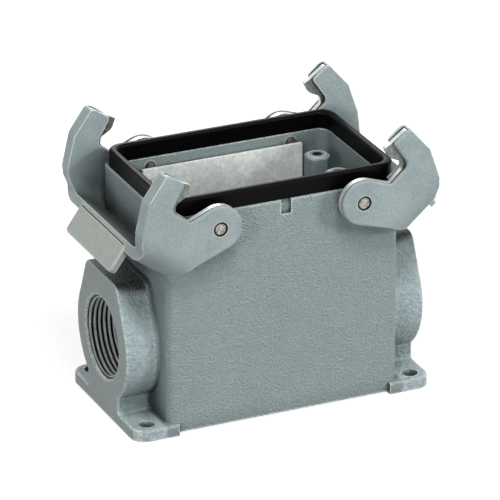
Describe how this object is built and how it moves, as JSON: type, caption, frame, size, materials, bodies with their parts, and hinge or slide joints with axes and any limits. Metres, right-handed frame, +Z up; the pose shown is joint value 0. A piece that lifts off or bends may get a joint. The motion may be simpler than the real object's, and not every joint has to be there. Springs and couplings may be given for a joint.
{
  "type": "rectangular connector housing",
  "caption": "Surface mounting rectangular connector housing with hinged locking levers, steel hook plates, a rim seal and a conduit entry on each end.",
  "frame": {"origin": "centre of the base, in the plane of the feet", "axes": "+X along the long side from the left entry to the right entry, +Y to the back wall with the screen plate, +Z up through the open top"},
  "size_m": [0.1046, 0.0606, 0.0858],
  "materials": {
    "housing_paint": "hammered grey powder coat",
    "lever_paint": "smooth satin grey coat",
    "seal_rubber": "smooth black",
    "hook_steel": "bright stamped steel",
    "pin_steel": "bright turned steel",
    "plate_zinc": "dull galvanised sheet"
  },
  "bodies": {
    "housing": {"housing": "housing_paint", "rim_seal": "seal_rubber", "screen_plate": "plate_zinc", "left_front_pivot_pin": "pin_steel", "left_back_pivot_pin": "pin_steel", "right_front_pivot_pin": "pin_steel", "right_back_pivot_pin": "pin_steel"},
    "left_lever": {"left_lever": "lever_paint", "left_front_hook_plate": "hook_steel", "left_back_hook_plate": "hook_steel"},
    "right_lever": {"right_lever": "lever_paint", "right_front_hook_plate": "hook_steel", "right_back_hook_plate": "hook_steel"}
  },
  "joints": [
    {"name": "left_lever_hinge", "type": "hinge", "parent": "housing", "child": "left_lever", "pos_m": [-0.0227, 0, 0.0654], "axis": [0, 1, 0], "range_deg": [0, 40]},
    {"name": "right_lever_hinge", "type": "hinge", "parent": "housing", "child": "right_lever", "pos_m": [0.0227, 0, 0.0654], "axis": [0, -1, 0], "range_deg": [-5.5, 34.5]}
  ]
}
